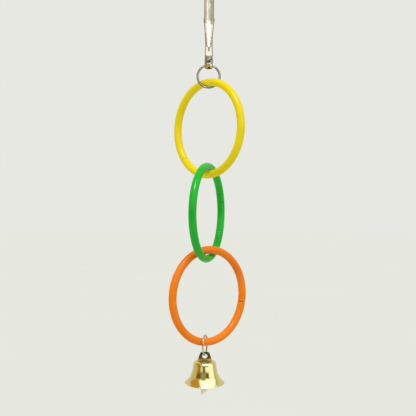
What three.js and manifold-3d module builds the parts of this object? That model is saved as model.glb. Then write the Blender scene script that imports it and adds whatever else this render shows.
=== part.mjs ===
// Linked ring bird toy: a spring clip, a wire ring, three plastic rings, a small wire link and a bell.
// Millimetres, +Z up, +X to the right, +Y to the back.
// The origin is the middle of the clip's grip, where a cage wire lies between the teeth.

import * as THREE from 'three';
import { mergeVertices } from 'three/addons/utils/BufferGeometryUtils.js';
import Module from 'manifold-3d';

const wasm = await Module();
wasm.setup();

// Clearances
const slack = 0.3;
const hangSlack = 0.15;
const earSlack = 0.25;
const seatGap = 0.15;
const slit = 0.35;

// Plastic rings: centreline radius, tube radius, length of the lapped closure
const ringRadius = 29.15;
const ringTube = 2.5;
const lapLength = 5.8;

// Each ring's turn about the vertical, and where round the ring its closure lies, in degrees
const yellowYaw = -47;
const yellowLapAt = 227;
const greenYaw = 72;
const greenLapAt = 20.5;
const orangeYaw = 41;
const orangeLapAt = -5.5;

// The bell's link sits off the orange ring's lowest point, and the ring shifts the other way to balance it
const linkOffset = 2.7;
const orangeShift = 1.55;

// Wire rings: centreline radius and wire radius
const hangerRadius = 7;
const hangerWire = 0.7;
const hangerButtAt = 60;
const linkRadius = 6.2;
const linkWire = 0.55;
const linkYaw = 78;
const linkButtAt = 20;

// The bell leans to the front, with its lug a short way along the link, so its weight stays below the link
const bellLean = 6;
const bellSlide = 1.12;

// Clip heights, measured from the grip
const tipRise = 5;
const taperDrop = 8;
const teethDrop = 15.5;
const pivotDrop = 22;
const leverDrop = 40.3;
const tailDrop = 52.4;

// Clip widths and sheet
const sheet = 0.45;
const earWidth = 6.2;
const tipWidth = 4.6;
const leverEndWidth = 4;
const barrelRadius = 2.75;
const barrelLength = 7.4;
const barrelWall = 0.5;
const screwHoleRadius = 1;
const screwHoleInset = 3.2;
const sideHoleRadius = 1.1;
const sideHoleInset = 1.7;
const mouthRise = 2.85;
const mouthDepth = 1.3;

// Clip depths, measured from the plane where the jaws meet
const tipDepth = 1.7;
const jawDepth = 4.4;
const tailFlange = 2.6;
const leverReach = 10.2;
const leverFlange = 1.5;
const earRadius = 2.8;
const toothCount = 8;
const toothDepth = 0.8;

// Pivot rivet and torsion spring
const rivetRadius = 1;
const rivetHeadRadius = 1.7;
const rivetHeadHeight = 0.25;
const springWire = 0.275;
const springRadius = 1.85;
const springPitch = 1;
const springTurns = 2;
const springSeat = springWire + slack;
const springLegDrop = 9;

// Bell shell
const bellSheet = 0.45;
const crownRadius = 4.6;
const shoulderRadius = 7.2;
const shoulderDrop = 2.3;
const waistRadius = 8.35;
const waistDrop = 8;
const rimRadius = 12.6;
const bellHeight = 14.2;

// Bell lug: the plate above the crown, and its tang through the crown
const lugSheet = 0.8;
const lugBase = 9.1;
const lugTop = 5.5;
const lugHeight = 5.3;
const lugCorner = 1;
const lugHoleRadius = 1.65;
const lugHoleRise = 2.7;
const tangWidth = 3.4;
const tangShoulder = 1.1;
const tangShoulderHeight = 1;
const eyeRadius = 1.1;
const eyeDrop = 3.5;
const eyeWeb = 0.9;

// Clapper: a wire loop and a flat leaf cut to a slanted point
const loopRadius = 1.7;
const loopWire = 0.45;
const leafSheet = 0.8;
const leafNeck = 1.8;
const leafLeft = 2.5;
const leafRight = 2.6;
const leafPointLeft = 2.1;
const leafShoulderDrop = 6;
const leafCutRise = 3.7;
const leafBelowRim = 7.8;

const degrees = Math.PI / 180;
const clear = 30;

// Solids: a closed geometry becomes a solid for joining and cutting, and comes back as a geometry

function toSolid(geometry) {
  const plain = geometry.clone();
  plain.deleteAttribute('normal');
  plain.deleteAttribute('uv');
  const merged = mergeVertices(plain, 1e-4);
  const index = merged.index.array;
  const triangles = [];
  for (let i = 0; i < index.length; i += 3) {
    const [a, b, c] = index.slice(i, i + 3);
    if (a !== b && b !== c && c !== a) triangles.push(a, b, c);
  }
  return new wasm.Manifold(new wasm.Mesh({
    numProp: 3,
    vertProperties: Float32Array.from(merged.attributes.position.array),
    triVerts: Uint32Array.from(triangles),
  }));
}

function toGeometry(solid) {
  const { vertProperties, triVerts } = solid.getMesh();
  const geometry = new THREE.BufferGeometry();
  geometry.setAttribute('position', new THREE.BufferAttribute(vertProperties, 3));
  geometry.setIndex(new THREE.BufferAttribute(triVerts, 1));
  geometry.computeVertexNormals();
  return geometry;
}

function polygon(points) {
  return new THREE.Shape(points.map(([x, y]) => new THREE.Vector2(x, y)));
}

function slab(shape, depth) {
  const geometry = new THREE.ExtrudeGeometry(shape, { depth, bevelEnabled: false, curveSegments: 8 });
  return geometry.translate(0, 0, -depth / 2);
}

// A side outline holds (Y, Z) and is spread along X. A front outline holds (X, Z) and is spread along Y.
const sideBasis = new THREE.Matrix4().makeBasis(
  new THREE.Vector3(0, 1, 0), new THREE.Vector3(0, 0, 1), new THREE.Vector3(1, 0, 0));
const frontBasis = new THREE.Matrix4().makeBasis(
  new THREE.Vector3(1, 0, 0), new THREE.Vector3(0, 0, 1), new THREE.Vector3(0, -1, 0));

function sideSolid(points, width) {
  return toSolid(slab(polygon(points), width).applyMatrix4(sideBasis));
}

function frontSolid(points, depth) {
  return toSolid(slab(polygon(points), depth).applyMatrix4(frontBasis));
}

function crossBar(radius, length, y, z) {
  const bar = new THREE.CylinderGeometry(radius, radius, length, 20).rotateZ(Math.PI / 2);
  return toSolid(bar.translate(0, y, z));
}

function mirrored(points) {
  return points.map(([a, b]) => [-a, b]).reverse();
}

function symmetric(halfWidths) {
  return [...halfWidths, ...mirrored(halfWidths)];
}

// Plastic ring: a round tube whose two half-thick ends lie side by side across a thin stepped slit

function polar(radius, angle) {
  return [radius * Math.cos(angle), radius * Math.sin(angle)];
}

// A block of the ring between two turns, from one side to the other of the ring's plane
function ringBlock(fromAngle, toAngle, fromSide, toSide) {
  const sector = new THREE.Shape();
  sector.absarc(0, 0, ringRadius + 2 * ringTube, fromAngle, toAngle, false);
  sector.absarc(0, 0, ringRadius - 2 * ringTube, toAngle, fromAngle, true);
  const middle = (fromSide + toSide) / 2;
  return toSolid(slab(sector, toSide - fromSide).translate(0, 0, middle));
}

function plasticRing(lapAt) {
  const tube = toSolid(new THREE.TorusGeometry(ringRadius, ringTube, 12, 56));
  const half = slit / 2;
  const turn = half / ringRadius;
  const nearEnd = lapAt * degrees - lapLength / ringRadius / 2;
  const farEnd = lapAt * degrees + lapLength / ringRadius / 2;
  return toGeometry(tube
    .subtract(ringBlock(nearEnd - turn, farEnd + turn, -half, half))
    .subtract(ringBlock(nearEnd - turn, nearEnd + turn, -half, 2 * ringTube))
    .subtract(ringBlock(farEnd - turn, farEnd + turn, -2 * ringTube, half)));
}

// Wire ring: round wire bent to a ring, with its ends butted

function wireRing(radius, wire, sides, buttAt) {
  const ring = toSolid(new THREE.TorusGeometry(radius, wire, 8, sides));
  const butt = new THREE.BoxGeometry(4 * wire, slit, 4 * wire).translate(radius, 0, 0);
  return toGeometry(ring.subtract(toSolid(butt.rotateZ(buttAt * degrees))));
}

// Clip jaws: folded sheet channels whose edges are toothed, with an ear either side of the pivot

const fixedWidth = earWidth - 2 * (sheet + earSlack);
const earTop = -pivotDrop + earRadius;
const toothGap = slack / 2;
const toothPitch = (tipRise + teethDrop) / toothCount;
const spineTop = -pivotDrop + 2 * earRadius;
const spineBend = -pivotDrop - earRadius;

// The bends of the tail's and the lever's outsides, as (depth, height)
const tailBend = [jawDepth, spineBend];
const barrelTop = barrelLength - tailDrop;
const tailFoot = [barrelRadius, barrelTop];
const leverBend = [jawDepth + leverFlange / 2, spineBend - earRadius / 2];
const leverFoot = [leverReach, -leverDrop];

function inside([depth, height]) {
  return [depth - sheet, height];
}

function depthAt(height, [fromDepth, fromHeight], [toDepth, toHeight]) {
  return THREE.MathUtils.mapLinear(height, fromHeight, toHeight, fromDepth, toDepth);
}

// The toothed edge, from the tip down to the root of the last tooth
function toothedEdge() {
  const edge = [];
  for (let tooth = 0; tooth < toothCount; tooth += 1) {
    const top = tipRise - tooth * toothPitch;
    edge.push([toothGap, top - toothPitch * 0.1]);
    edge.push([toothGap, top - toothPitch * 0.4]);
    edge.push([toothGap + toothDepth, top - toothPitch * 0.75]);
  }
  return edge;
}

// A jaw is its outline with ears, kept to its front width, with the channel and the pivot hole cut out
function jaw(outline, channel, widths, earSpan) {
  const inset = widths.map(([x, z]) => [x - sheet, z]);
  const ears = crossBar(earRadius, earSpan, 0, -pivotDrop);
  const body = sideSolid(outline, clear).intersect(frontSolid(symmetric(widths), clear));
  const hollow = sideSolid(channel, clear).intersect(frontSolid(symmetric(inset), clear));
  const pivotHole = crossBar(rivetRadius + slack, clear, 0, -pivotDrop);
  return body.add(ears).subtract(hollow).subtract(pivotHole);
}

function fixedJaw() {
  const barrelJoin = barrelTop - barrelRadius / 2;
  const tailFront = jawDepth - tailFlange;
  const outline = [
    ...toothedEdge(),
    [toothGap, earTop],
    [tailFront, spineBend],
    [0, barrelTop],
    [0, barrelJoin],
    [barrelRadius, barrelJoin],
    tailFoot,
    tailBend,
    [jawDepth, spineTop],
    [tipDepth, tipRise],
  ];
  const channel = [
    [-clear, tipRise - sheet],
    [-clear, -clear - tailDrop],
    [barrelRadius - sheet, -clear - tailDrop],
    inside(tailFoot),
    inside(tailBend),
    [jawDepth - sheet, spineTop],
    [tipDepth - sheet, tipRise - sheet],
  ];
  const widths = [
    [tipWidth / 2, tipRise],
    [fixedWidth / 2, -taperDrop],
    [fixedWidth / 2, -leverDrop],
    [barrelRadius, barrelTop],
    [barrelRadius, -clear - tailDrop],
  ];
  const barrelProfile = [
    [barrelRadius - barrelWall, -tailDrop],
    [barrelRadius, -tailDrop],
    [barrelRadius, barrelTop],
    [barrelRadius - barrelWall, barrelTop],
    [barrelRadius - barrelWall, -tailDrop],
  ].map(([r, z]) => new THREE.Vector2(r, z));
  const barrel = toSolid(new THREE.LatheGeometry(barrelProfile, 24).rotateX(Math.PI / 2));
  const bore = new THREE.CylinderGeometry(barrelRadius - barrelWall, barrelRadius - barrelWall, clear, 24);
  const boreSolid = toSolid(bore.rotateX(Math.PI / 2).translate(0, 0, barrelTop - clear / 2));
  const screwHole = new THREE.CylinderGeometry(screwHoleRadius, screwHoleRadius, barrelRadius, 16);
  const screwHoleSolid = toSolid(screwHole.translate(0, -barrelRadius, barrelTop - screwHoleInset));
  const mouth = sideSolid([
    [-clear, mouthRise - tailDrop],
    [-barrelRadius, mouthRise - tailDrop],
    [-mouthDepth, -tailDrop - slack],
    [-clear, -tailDrop - slack],
  ], clear);
  return jaw(outline, channel, widths, fixedWidth)
    .subtract(boreSolid)
    .add(barrel)
    .subtract(screwHoleSolid)
    .subtract(mouth)
    .subtract(crossBar(sideHoleRadius, clear, 0, sideHoleZ));
}

function springJaw() {
  const leverEnd = -leverDrop;
  const outline = mirrored([
    ...toothedEdge(),
    [toothGap, earTop],
    [jawDepth - tailFlange, spineBend],
    [leverReach - leverFlange, leverEnd],
    leverFoot,
    leverBend,
    [jawDepth, -pivotDrop],
    [jawDepth, spineTop],
    [tipDepth, tipRise],
  ]);
  const channel = mirrored([
    [-clear, tipRise - sheet],
    [-clear, leverEnd - clear],
    [leverReach - sheet, leverEnd - clear],
    inside(leverFoot),
    inside(leverBend),
    [jawDepth - sheet, -pivotDrop],
    [jawDepth - sheet, spineTop],
    [tipDepth - sheet, tipRise - sheet],
  ]);
  const widths = [
    [tipWidth / 2, tipRise],
    [earWidth / 2, -taperDrop],
    [earWidth / 2, spineBend],
    [leverEndWidth / 2, leverEnd],
  ];
  return jaw(outline, channel, widths, earWidth);
}

// Pivot rivet: a plain shank with a low head outside each ear
function pivotRivet() {
  const inner = earWidth / 2 + seatGap;
  const outer = inner + rivetHeadHeight;
  const profile = [
    [0, -outer],
    [rivetHeadRadius, -outer],
    [rivetHeadRadius, -inner],
    [rivetRadius, -inner],
    [rivetRadius, inner],
    [rivetHeadRadius, inner],
    [rivetHeadRadius, outer],
    [0, outer],
  ].map(([r, z]) => new THREE.Vector2(r, z));
  return new THREE.LatheGeometry(profile, 20).rotateZ(Math.PI / 2);
}

// Torsion spring: one leg lies on the lever's inside, the curls go round the rivet, one leg lies on the tail
function springPoints() {
  const curlSteps = 8;
  const sweep = (springTurns + 0.5) * 2 * Math.PI;
  const span = springPitch * (springTurns + 0.5);
  const steps = Math.round(curlSteps * (springTurns + 0.5));
  const points = [];
  for (let step = 0; step <= steps; step += 1) {
    const [y, z] = polar(springRadius, Math.PI - sweep * step / steps);
    points.push(new THREE.Vector3(span * (step / steps - 0.5), y, z));
  }
  const legEnd = -pivotDrop - springLegDrop;
  const leverSide = depthAt(legEnd, leverBend, leverFoot) - sheet - springSeat - springRadius;
  const tailSide = depthAt(legEnd, tailBend, tailFoot) - sheet - springSeat - springRadius;
  const leg = (from, y) => [0.33, 0.66, 1].map((part) => new THREE.Vector3(
    from.x, from.y + part * y, from.z - part * springLegDrop));
  const leverLeg = leg(points[0], -leverSide).reverse();
  const tailLeg = leg(points[points.length - 1], tailSide);
  return [...leverLeg, ...points, ...tailLeg];
}

function torsionSpring() {
  const path = new THREE.CatmullRomCurve3(springPoints());
  const section = new THREE.Shape();
  for (let side = 0; side < 5; side += 1) {
    const [x, y] = polar(springWire, side * 72 * degrees);
    if (side === 0) section.moveTo(x, y);
    else section.lineTo(x, y);
  }
  return new THREE.ExtrudeGeometry(section, { steps: 40, bevelEnabled: false, extrudePath: path });
}

// The least gap between neighbouring curls, from points along the wire
function springGap() {
  const path = new THREE.CatmullRomCurve3(springPoints());
  const points = path.getSpacedPoints(200);
  const apart = Math.PI * springRadius;
  const step = path.getLength() / 200;
  let least = Infinity;
  points.forEach((from, i) => {
    points.slice(i + Math.ceil(apart / step)).forEach((to) => {
      least = Math.min(least, from.distanceTo(to));
    });
  });
  return least - 2 * springWire;
}

// Bell: a turned-over cup with a flat crown, a rounded shoulder and a flared rim

function bellOutline(inset) {
  const outline = new THREE.Path();
  outline.moveTo(0, -inset);
  outline.lineTo(crownRadius - inset / 2, -inset);
  outline.quadraticCurveTo(shoulderRadius - inset, -inset, shoulderRadius - inset, -shoulderDrop - inset / 2);
  outline.lineTo(waistRadius - inset, -waistDrop);
  outline.quadraticCurveTo(
    waistRadius - inset + (waistRadius - shoulderRadius) / 2, -waistDrop - (bellHeight - waistDrop) * 0.62,
    rimRadius - 1.4 * inset, -bellHeight);
  return outline.getPoints(6);
}

function bellShell() {
  const profile = [...bellOutline(0), ...bellOutline(bellSheet).reverse()];
  const shell = toSolid(new THREE.LatheGeometry(profile.reverse(), 36).rotateX(Math.PI / 2));
  const slot = new THREE.BoxGeometry(tangWidth + 2 * slack, lugSheet + 2 * slack, 4 * bellSheet);
  return toGeometry(shell.subtract(toSolid(slot)));
}

// Bell lug: one flat plate whose tang goes through the crown, is spread under it, and ends in an eye
function bellLug() {
  const shoulderTop = -bellSheet - seatGap;
  const shoulderEnd = shoulderTop - tangShoulderHeight;
  const shoulderHalf = tangWidth / 2 + tangShoulder;
  const plate = new THREE.Shape();
  const top = seatGap + lugHeight;
  const lean = (lugBase - lugTop) / 2 / lugHeight;
  plate.moveTo(-lugBase / 2, seatGap);
  plate.lineTo(-lugTop / 2 - lean * lugCorner, top - lugCorner);
  plate.quadraticCurveTo(-lugTop / 2, top, -lugTop / 2 + lugCorner, top);
  plate.lineTo(lugTop / 2 - lugCorner, top);
  plate.quadraticCurveTo(lugTop / 2, top, lugTop / 2 + lean * lugCorner, top - lugCorner);
  plate.lineTo(lugBase / 2, seatGap);
  plate.lineTo(tangWidth / 2, seatGap);
  plate.lineTo(tangWidth / 2, shoulderTop);
  plate.lineTo(shoulderHalf, shoulderTop);
  plate.lineTo(shoulderHalf, shoulderEnd);
  plate.lineTo(eyeRadius + eyeWeb, -eyeDrop);
  plate.absarc(0, -eyeDrop, eyeRadius + eyeWeb, 0, Math.PI, true);
  plate.lineTo(-shoulderHalf, shoulderEnd);
  plate.lineTo(-shoulderHalf, shoulderTop);
  plate.lineTo(-tangWidth / 2, shoulderTop);
  plate.lineTo(-tangWidth / 2, seatGap);
  const hole = new THREE.Path().absarc(0, seatGap + lugHoleRise, lugHoleRadius, 0, 2 * Math.PI);
  const eye = new THREE.Path().absarc(0, -eyeDrop, eyeRadius, 0, 2 * Math.PI);
  plate.holes.push(hole, eye);
  return slab(plate, lugSheet).applyMatrix4(frontBasis);
}

// Clapper: the loop hangs in the lug's eye, and the leaf below it ends in a slanted point
const loopTop = -eyeDrop - eyeRadius + slack + loopWire;

function clapper() {
  const loopCentre = loopTop - loopRadius;
  const leafTop = loopCentre - loopRadius + loopWire / 2;
  const point = -bellHeight - leafBelowRim;
  const loop = new THREE.TorusGeometry(loopRadius, loopWire, 8, 20).rotateY(Math.PI / 2);
  const leaf = new THREE.Shape();
  leaf.moveTo(leafNeck / 2, leafTop);
  leaf.lineTo(-leafNeck / 2, leafTop);
  leaf.quadraticCurveTo(-leafLeft, leafTop - leafShoulderDrop / 2, -leafLeft, leafTop - leafShoulderDrop);
  leaf.lineTo(-leafPointLeft, point);
  leaf.quadraticCurveTo(leafRight * 0.4, point + leafCutRise / 2, leafRight, point + leafCutRise);
  leaf.lineTo(leafRight, leafTop - leafShoulderDrop);
  leaf.quadraticCurveTo(leafRight, leafTop - leafShoulderDrop / 2, leafNeck / 2, leafTop);
  const plate = toSolid(slab(leaf, leafSheet).applyMatrix4(frontBasis));
  return toGeometry(toSolid(loop.translate(0, 0, loopCentre)).add(plate));
}

// Chain: each ring hangs on the one above it, and its height is the lowest that clears that one all along

function arcPoints(ring, middle) {
  const points = [];
  for (let angle = middle - 90; angle <= middle + 90; angle += 2) {
    const [along, up] = polar(ring.radius, angle * degrees);
    const [x, y] = polar(along, ring.yaw * degrees);
    points.push(new THREE.Vector3(ring.x + x, ring.y + y, ring.z + up));
  }
  return points;
}

function leastDistance(holder, ring) {
  const holderPoints = arcPoints(holder, -90);
  const nearest = (point) => Math.min(...holderPoints.map((other) => point.distanceTo(other)));
  return Math.min(...arcPoints(ring, 90).map(nearest));
}

function hangOn(holder, size, [x, y]) {
  const need = holder.tube + size.tube + hangSlack;
  const step = 0.01;
  const ring = { ...size, x, y, z: holder.z - holder.radius + need - size.radius };
  while (leastDistance(holder, ring) < need && ring.z < holder.z) ring.z += step;
  return ring;
}

const sideHoleZ = -tailDrop + sideHoleInset;
const wallMiddle = barrelRadius - barrelWall / 2;
const hangerRise = Math.sqrt(hangerRadius ** 2 - wallMiddle ** 2);
const hangerWireSlant = hangerWire * hangerRadius / hangerRise;
const hangerZ = sideHoleZ - sideHoleRadius + slack + hangerWireSlant - hangerRise;
const hangerPlace = { radius: hangerRadius, tube: hangerWire, yaw: 0, x: 0, y: 0, z: hangerZ };

const plasticSize = { radius: ringRadius, tube: ringTube };
const linkSize = { radius: linkRadius, tube: linkWire, yaw: linkYaw };
const orangeAxis = orangeYaw * degrees;
const yellowPlace = hangOn(hangerPlace, { ...plasticSize, yaw: yellowYaw }, [0, 0]);
const greenPlace = hangOn(yellowPlace, { ...plasticSize, yaw: greenYaw }, [0, 0]);
const orangePlace = hangOn(greenPlace, { ...plasticSize, yaw: orangeYaw }, polar(orangeShift, orangeAxis));
const linkPlace = hangOn(orangePlace, linkSize, polar(orangeShift - linkOffset, orangeAxis));

// The lug's hole hangs on the link, and the clapper hangs upright in the lug's eye
const bellTurn = new THREE.Quaternion().setFromAxisAngle(new THREE.Vector3(1, 0, 0), bellLean * degrees);
const slideAlong = bellSlide / Math.sin(linkYaw * degrees);
const linkDrop = Math.sqrt(linkRadius ** 2 - slideAlong ** 2);
const slant = lugSheet / 2 * (slideAlong / linkDrop + Math.tan(bellLean * degrees));
const lugHoleTop = linkPlace.z - linkDrop + linkWire + slack + slant;

function downBell(drop) {
  return new THREE.Vector3(0, 0, -drop).applyQuaternion(bellTurn);
}

const bellPlace = new THREE.Vector3(linkPlace.x, linkPlace.y - bellSlide, lugHoleTop);
bellPlace.add(downBell(lugHoleRadius + lugHoleRise + seatGap));
const clapperPlace = bellPlace.clone().add(downBell(eyeDrop + eyeRadius));
clapperPlace.z += eyeDrop + eyeRadius;

// Materials

const nickel = { color: 0xb9b7ab, roughness: 0.25, metalness: 1 };
const brass = { color: 0xd8c46a, roughness: 0.18, metalness: 1 };
const plastic = { roughness: 0.35, metalness: 0 };

function piece(name, geometry, look) {
  const mesh = new THREE.Mesh(geometry, new THREE.MeshStandardMaterial(look));
  mesh.name = name;
  return mesh;
}

// A hanging ring stands upright and is turned about the vertical
function hang(mesh, place) {
  mesh.position.set(place.x, place.y, place.z);
  mesh.rotation.set(Math.PI / 2, 0, place.yaw * degrees, 'ZXY');
  return mesh;
}

// Assembly

const toy = new THREE.Group();

const clip = new THREE.Group();
clip.add(piece('fixed_jaw', toGeometry(fixedJaw()), nickel));
clip.add(piece('spring_jaw', toGeometry(springJaw()), nickel));
const pivot = new THREE.Group();
pivot.position.set(0, 0, -pivotDrop);
pivot.add(piece('pivot_rivet', pivotRivet(), nickel));
pivot.add(piece('jaw_spring', torsionSpring(), nickel));
clip.add(pivot);
toy.add(clip);

const hanger = piece('hanger_ring', wireRing(hangerRadius, hangerWire, 40, hangerButtAt), nickel);
const yellow = piece('yellow_ring', plasticRing(yellowLapAt), { color: 0xe1cd25, ...plastic });
const green = piece('green_ring', plasticRing(greenLapAt), { color: 0x2fab3b, ...plastic });
const orange = piece('orange_ring', plasticRing(orangeLapAt), { color: 0xe77d1b, ...plastic });
const link = piece('bell_link', wireRing(linkRadius, linkWire, 32, linkButtAt), nickel);
toy.add(hang(hanger, hangerPlace));
toy.add(hang(yellow, yellowPlace));
toy.add(hang(green, greenPlace));
toy.add(hang(orange, orangePlace));
toy.add(hang(link, linkPlace));

const bell = new THREE.Group();
bell.position.copy(bellPlace);
bell.quaternion.copy(bellTurn);
bell.add(piece('bell_shell', bellShell(), brass));
bell.add(piece('bell_lug', bellLug(), brass));
toy.add(bell);
const tongue = piece('clapper', clapper(), brass);
tongue.position.copy(clapperPlace);
toy.add(tongue);

console.log(`least gap between spring curls ${springGap().toFixed(2)} mm`);

export default toy;
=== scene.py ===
import math

import bmesh
import bpy
from mathutils import Matrix, Vector


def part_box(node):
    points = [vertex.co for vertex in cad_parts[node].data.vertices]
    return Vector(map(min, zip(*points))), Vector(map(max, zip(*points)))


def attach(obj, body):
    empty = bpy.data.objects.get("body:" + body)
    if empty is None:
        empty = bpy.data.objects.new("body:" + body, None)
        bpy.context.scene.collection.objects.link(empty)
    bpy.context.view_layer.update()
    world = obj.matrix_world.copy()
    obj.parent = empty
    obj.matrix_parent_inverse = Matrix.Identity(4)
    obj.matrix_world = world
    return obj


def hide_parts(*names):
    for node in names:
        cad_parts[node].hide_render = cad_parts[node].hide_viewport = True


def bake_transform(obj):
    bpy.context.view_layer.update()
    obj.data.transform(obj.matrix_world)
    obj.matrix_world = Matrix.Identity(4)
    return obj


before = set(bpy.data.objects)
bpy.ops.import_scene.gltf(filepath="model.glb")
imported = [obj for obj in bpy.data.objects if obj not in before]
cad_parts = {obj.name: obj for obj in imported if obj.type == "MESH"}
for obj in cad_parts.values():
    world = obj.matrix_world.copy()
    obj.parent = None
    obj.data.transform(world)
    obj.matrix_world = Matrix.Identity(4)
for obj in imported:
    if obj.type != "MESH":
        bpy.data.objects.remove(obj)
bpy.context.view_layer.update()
mm = 0.001
print("frame loaded")


# camera at the photo's place: level, a little above the green ring's middle
cameraSet = {
    "place": (0.32 * mm, -532.6 * mm, -139.37 * mm),
    "lens": 72.95,
    "sensor": 36,
    "dip": 0.102,
    "roll": 0.5,
}


def addCamera():
    tilt = (math.radians(90 - cameraSet["dip"]), math.radians(-cameraSet["roll"]), 0)
    bpy.ops.object.camera_add(location=cameraSet["place"], rotation=tilt)
    camera = bpy.context.object
    camera.name = "photoCamera"
    camera.data.lens = cameraSet["lens"]
    camera.data.sensor_width = cameraSet["sensor"]
    bpy.context.scene.camera = camera


bpy.ops.object.select_all(action="DESELECT")
addCamera()
print("camera placed")


# the bell hangs from its crown and leans to the front
bellCrown = (-0.868 * mm, -1.404 * mm, -236.4 * mm)
bellTurn = (math.radians(6), 0, 0)


# small helpers for working in edit mode
def pick(kind, wanted):
    mesh = bmesh.from_edit_mesh(bpy.context.object.data)
    bpy.ops.mesh.select_mode(type={"verts": "VERT", "edges": "EDGE", "faces": "FACE"}[kind])
    bpy.ops.mesh.select_all(action="DESELECT")
    for item in getattr(mesh, kind):
        if wanted(item):
            item.select_set(True)
    bmesh.update_edit_mesh(bpy.context.object.data)


def startEdit():
    bpy.ops.object.mode_set(mode="EDIT")
    bpy.ops.mesh.select_all(action="SELECT")


def endEdit():
    bpy.ops.object.mode_set(mode="OBJECT")


def only(piece):
    bpy.ops.object.select_all(action="DESELECT")
    piece.select_set(True)
    bpy.context.view_layer.objects.active = piece


def applyModifier(piece, kind, **settings):
    only(piece)
    modifier = piece.modifiers.new(kind.lower(), kind)
    for name, value in settings.items():
        setattr(modifier, name, value)
    bpy.ops.object.modifier_apply(modifier=modifier.name)


# only edges sharper than 50 degrees are rounded
def softenEdges(piece, width, segments=3):
    applyModifier(piece, "BEVEL", width=width, segments=segments, limit_method="ANGLE",
                  angle_limit=math.radians(50))


def cutWith(piece, cutter, operation="DIFFERENCE"):
    applyModifier(piece, "BOOLEAN", operation=operation, solver="EXACT", object=cutter)
    bpy.data.objects.remove(cutter)


def drill(piece, radius, place, axis, length=30 * mm, sides=40):
    quarter = math.radians(90)
    turn = {"x": (0, quarter, 0), "y": (quarter, 0, 0)}[axis]
    bpy.ops.object.select_all(action="DESELECT")
    bpy.ops.mesh.primitive_cylinder_add(
        vertices=sides, radius=radius, depth=length, location=place, rotation=turn)
    cutWith(piece, bpy.context.object)


def settle(piece):
    only(piece)
    bpy.ops.object.transform_apply(location=True, rotation=True, scale=True)


def smooth(piece, angle=38):
    only(piece)
    bpy.ops.object.shade_smooth_by_angle(angle=math.radians(angle))


def faceOut():
    bpy.ops.mesh.select_all(action="SELECT")
    bpy.ops.mesh.remove_doubles(threshold=1e-6)
    bpy.ops.mesh.normals_make_consistent(inside=False)


def finishPiece(piece, name, material, body, slot, *nodes):
    piece.name = name
    piece.data.name = name
    piece.data.materials.clear()
    piece.data.materials.append(material)
    if body:
        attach(piece, body)
    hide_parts(*nodes)


def middleOf(node):
    low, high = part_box(node)
    return (low + high) / 2


# materials, all procedural, and on the pieces all in object coordinates
def newMaterial(name, **sockets):
    material = bpy.data.materials.new(name)
    material.use_nodes = True
    shader = material.node_tree.nodes["Principled BSDF"]
    for socket, value in sockets.items():
        shader.inputs[socket.replace("_", " ")].default_value = value
    return material, material.node_tree, shader


def addNode(tree, kind, inputs=None, **settings):
    node = tree.nodes.new("ShaderNode" + kind)
    for name, value in settings.items():
        setattr(node, name, value)
    for name, value in (inputs or {}).items():
        node.inputs[name].default_value = value
    return node


def objectPoint(tree, scale=(1, 1, 1)):
    coords = addNode(tree, "TexCoord")
    mapping = addNode(tree, "Mapping", {"Scale": scale})
    tree.links.new(coords.outputs["Object"], mapping.inputs["Vector"])
    return mapping.outputs["Vector"]


def noise(tree, point, scale, detail=3.0, roughness=0.5):
    node = addNode(tree, "TexNoise", {"Scale": scale, "Detail": detail, "Roughness": roughness})
    tree.links.new(point, node.inputs["Vector"])
    return node.outputs["Fac"]


def ramp(tree, value, *stops):
    node = addNode(tree, "ValToRGB")
    points = node.color_ramp.elements
    while len(points) < len(stops):
        points.new(0.5)
    for point, (position, colour) in zip(points, stops):
        point.position = position
        point.color = (*colour, 1)
    tree.links.new(value, node.inputs["Fac"])
    return node.outputs["Color"]


def remap(tree, value, fromLow, fromHigh, toLow, toHigh):
    node = addNode(tree, "MapRange", {
        "From Min": fromLow, "From Max": fromHigh, "To Min": toLow, "To Max": toHigh})
    tree.links.new(value, node.inputs["Value"])
    return node.outputs["Result"]


def maths(tree, operation, first, second=0.0):
    node = addNode(tree, "Math", operation=operation)
    for socket, value in zip(node.inputs, (first, second)):
        if isinstance(value, (int, float)):
            socket.default_value = value
        else:
            tree.links.new(value, socket)
    return node.outputs["Value"]


# sockets 6 and 7 of a colour mix are its two colours, and output 2 is the mixed one
def mixColours(tree, share, first, second):
    node = addNode(tree, "Mix", data_type="RGBA")
    tree.links.new(share, node.inputs["Factor"])
    for socket, value in zip((node.inputs[6], node.inputs[7]), (first, second)):
        if isinstance(value, tuple):
            socket.default_value = (*value, 1)
        else:
            tree.links.new(value, socket)
    return node.outputs[2]


def multiplyColours(tree, first, second):
    node = addNode(tree, "Mix", {"Factor": 1.0}, data_type="RGBA", blend_type="MULTIPLY")
    tree.links.new(first, node.inputs[6])
    tree.links.new(second, node.inputs[7])
    return node.outputs[2]


def bumps(tree, shader, height, strength, distance):
    node = addNode(tree, "Bump", {"Strength": strength, "Distance": distance})
    tree.links.new(height, node.inputs["Height"])
    tree.links.new(node.outputs["Normal"], shader.inputs["Normal"])


def distanceTo(tree, place):
    coords = addNode(tree, "TexCoord")
    node = addNode(tree, "VectorMath", operation="DISTANCE")
    tree.links.new(coords.outputs["Object"], node.inputs[0])
    node.inputs[1].default_value = place
    return node.outputs["Value"]


def splitPoint(tree, point):
    parts = addNode(tree, "SeparateXYZ")
    tree.links.new(point, parts.inputs["Vector"])
    return [parts.outputs[axis] for axis in "XYZ"]


def distanceFromAxis(tree, x, y):
    squares = [maths(tree, "POWER", value, 2.0) for value in (x, y)]
    return maths(tree, "SQRT", maths(tree, "ADD", *squares))


# coordinates measured from the bell's crown along its leaning axis
def bellPoint(tree):
    coords = addNode(tree, "TexCoord")
    mapping = addNode(
        tree, "Mapping", {"Location": bellCrown, "Rotation": bellTurn}, vector_type="TEXTURE")
    tree.links.new(coords.outputs["Object"], mapping.inputs["Vector"])
    return mapping.outputs["Vector"]


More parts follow.
